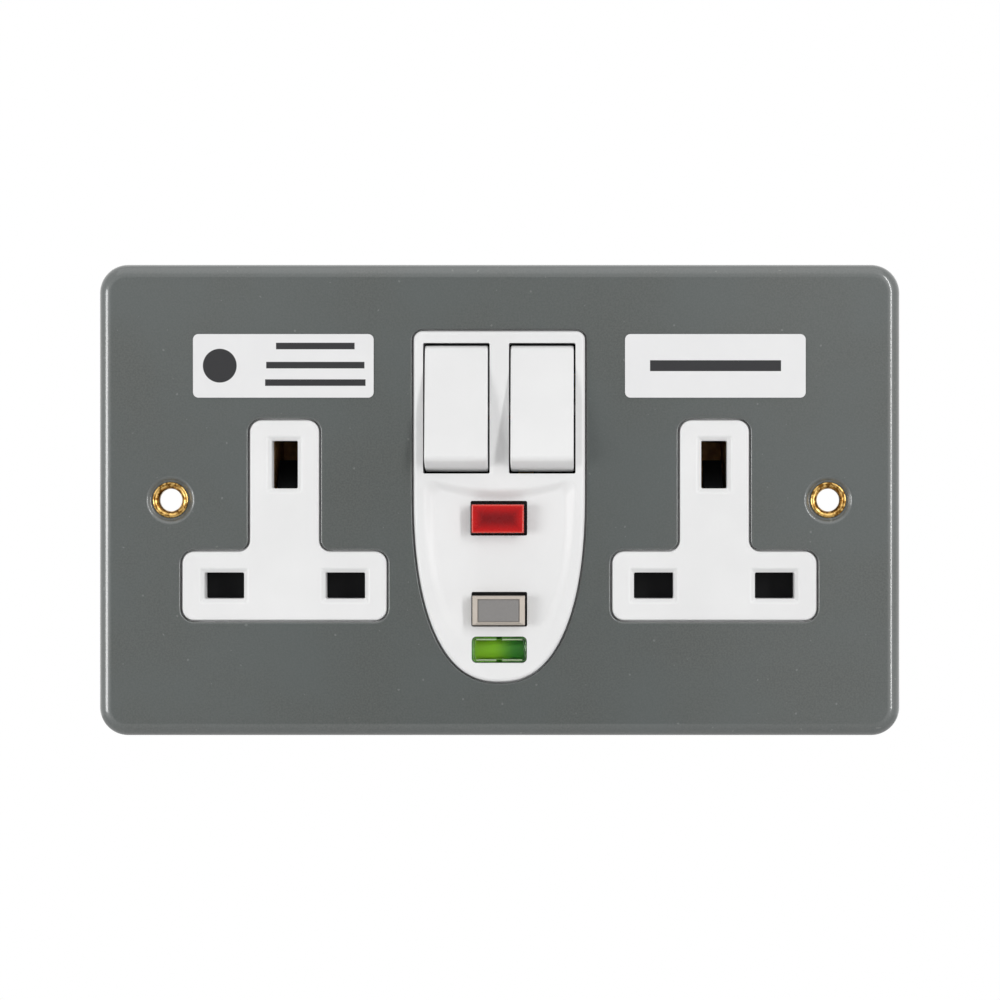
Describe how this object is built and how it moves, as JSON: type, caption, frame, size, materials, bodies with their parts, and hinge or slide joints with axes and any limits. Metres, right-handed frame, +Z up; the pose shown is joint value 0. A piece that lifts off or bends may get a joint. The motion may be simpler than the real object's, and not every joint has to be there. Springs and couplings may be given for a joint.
{
  "type": "wall socket outlet",
  "caption": "Flush metal-clad wall socket outlet with rocker switches and a residual-current trip, its test and reset buttons in a panel between the outlets.",
  "frame": {"origin": "midway between the two fixing holes, on the wall plane at the back of the plate's rim", "axes": "the front faces -Y, X runs to the right seen from the front, Z up"},
  "size_m": [0.147, 0.0371, 0.0864],
  "materials": {
    "grey_powder_coat": "smooth satin powder coat",
    "white_moulding": "smooth urea moulding",
    "black_moulding": "matt moulding",
    "brass": "bright rolled strip",
    "spring_steel": "zinc-plated",
    "red_button": "translucent red",
    "grey_button": "smooth",
    "clear_lens": "clear",
    "green_flag": "green and red quarters",
    "circuit_board": "solder resist",
    "ferrite": "matt",
    "enamelled_copper": "enamelled wire",
    "label_film": "printed film, left bare"
  },
  "bodies": {
    "socket": {"front_plate": "grey_powder_coat", "left_socket_face": "white_moulding", "right_socket_face": "white_moulding", "control_panel": "white_moulding", "mechanism_frame": "black_moulding", "contact_deck": "black_moulding", "rear_housing": "black_moulding", "trip_coil": "black_moulding", "left_eyelet": "brass", "right_eyelet": "brass", "line_busbar": "brass", "neutral_busbar": "brass", "earth_strap": "brass", "left_earth_contact": "brass", "right_earth_contact": "brass", "left_line_contact": "brass", "right_line_contact": "brass", "left_neutral_contact": "brass", "right_neutral_contact": "brass", "line_terminal": "brass", "neutral_terminal": "brass", "earth_terminal": "brass", "test_spring": "spring_steel", "reset_spring": "spring_steel", "left_shutter_spring": "spring_steel", "right_shutter_spring": "spring_steel", "line_terminal_screw": "spring_steel", "neutral_terminal_screw": "spring_steel", "earth_terminal_screw": "spring_steel", "lower_left_housing_screw": "spring_steel", "lower_right_housing_screw": "spring_steel", "upper_left_housing_screw": "spring_steel", "upper_right_housing_screw": "spring_steel", "indicator_lens": "clear_lens", "circuit_board": "circuit_board", "toroid_core": "ferrite", "toroid_winding": "enamelled_copper", "left_label": "label_film", "right_label": "label_film"},
    "left_rocker_body": {"left_rocker": "white_moulding", "left_rocker_plunger": "brass", "left_rocker_spring": "spring_steel"},
    "right_rocker_body": {"right_rocker": "white_moulding", "right_rocker_plunger": "brass", "right_rocker_spring": "spring_steel"},
    "left_switch_blade_body": {"left_switch_blade": "brass"},
    "right_switch_blade_body": {"right_switch_blade": "brass"},
    "test_button_body": {"test_button": "red_button"},
    "reset_button_body": {"reset_button": "grey_button"},
    "left_shutter_body": {"left_shutter": "black_moulding"},
    "right_shutter_body": {"right_shutter": "black_moulding"},
    "carriage_body": {"contact_carriage": "black_moulding", "line_bridge": "brass", "neutral_bridge": "brass"},
    "drum_body": {"indicator_drum": "green_flag"},
    "trip_plunger_body": {"trip_plunger": "spring_steel"},
    "latch_lever_body": {"latch_lever": "spring_steel"}
  },
  "joints": [
    {"name": "left_rocker", "type": "hinge", "parent": "socket", "child": "left_rocker_body", "pos_m": [-0.00786, -0.00593, 0.0168], "axis": [1, 0, 0], "range_deg": [0, 20]},
    {"name": "left_switch_blade", "type": "hinge", "parent": "socket", "child": "left_switch_blade_body", "pos_m": [-0.00786, 0.00667, 0.0168], "axis": [1, 0, 0], "range_deg": [-14.1, 0]},
    {"name": "left_shutter", "type": "slide", "parent": "socket", "child": "left_shutter_body", "axis": [0, 0, -1], "range_m": [0, 0.005], "stiffness_N_per_m": 60, "springref_m": -0.003, "deforming": ["left_shutter_spring"]},
    {"name": "right_rocker", "type": "hinge", "parent": "socket", "child": "right_rocker_body", "pos_m": [0.00786, -0.00593, 0.0168], "axis": [1, 0, 0], "range_deg": [0, 20]},
    {"name": "right_switch_blade", "type": "hinge", "parent": "socket", "child": "right_switch_blade_body", "pos_m": [0.00786, 0.00667, 0.0168], "axis": [1, 0, 0], "range_deg": [-14.1, 0]},
    {"name": "right_shutter", "type": "slide", "parent": "socket", "child": "right_shutter_body", "axis": [0, 0, -1], "range_m": [0, 0.005], "stiffness_N_per_m": 60, "springref_m": -0.003, "deforming": ["right_shutter_spring"]},
    {"name": "test_button", "type": "slide", "parent": "socket", "child": "test_button_body", "axis": [0, 1, 0], "range_m": [0, 0.0015], "stiffness_N_per_m": 200, "springref_m": -0.0015, "deforming": ["test_spring"]},
    {"name": "reset_button", "type": "slide", "parent": "socket", "child": "reset_button_body", "axis": [0, 1, 0], "range_m": [0, 0.002], "stiffness_N_per_m": 200, "springref_m": -0.0015, "deforming": ["reset_spring"]},
    {"name": "contact_carriage", "type": "slide", "parent": "socket", "child": "carriage_body", "axis": [0, 1, 0], "range_m": [0, 0.0025]},
    {"name": "indicator_drum", "type": "hinge", "parent": "socket", "child": "drum_body", "pos_m": [0, -0.0025, -0.0274], "axis": [1, 0, 0], "range_deg": [-90, 0]},
    {"name": "trip_plunger", "type": "slide", "parent": "socket", "child": "trip_plunger_body", "axis": [0, 0, -1], "range_m": [0, 0.001], "stiffness_N_per_m": 30, "springref_m": -0.001},
    {"name": "latch_lever", "type": "hinge", "parent": "socket", "child": "latch_lever_body", "pos_m": [-0.0115, 0.0039, -0.0135], "axis": [1, 0, 0], "range_deg": [-26, 0]}
  ],
  "couplings": [
    {"joint": "left_switch_blade", "follows": "left_rocker", "ratio": -0.7},
    {"joint": "right_switch_blade", "follows": "right_rocker", "ratio": -0.7},
    {"joint": "indicator_drum", "follows": "contact_carriage", "rad_per_m": -628.3},
    {"joint": "latch_lever", "follows": "trip_plunger", "rad_per_m": -436}
  ]
}
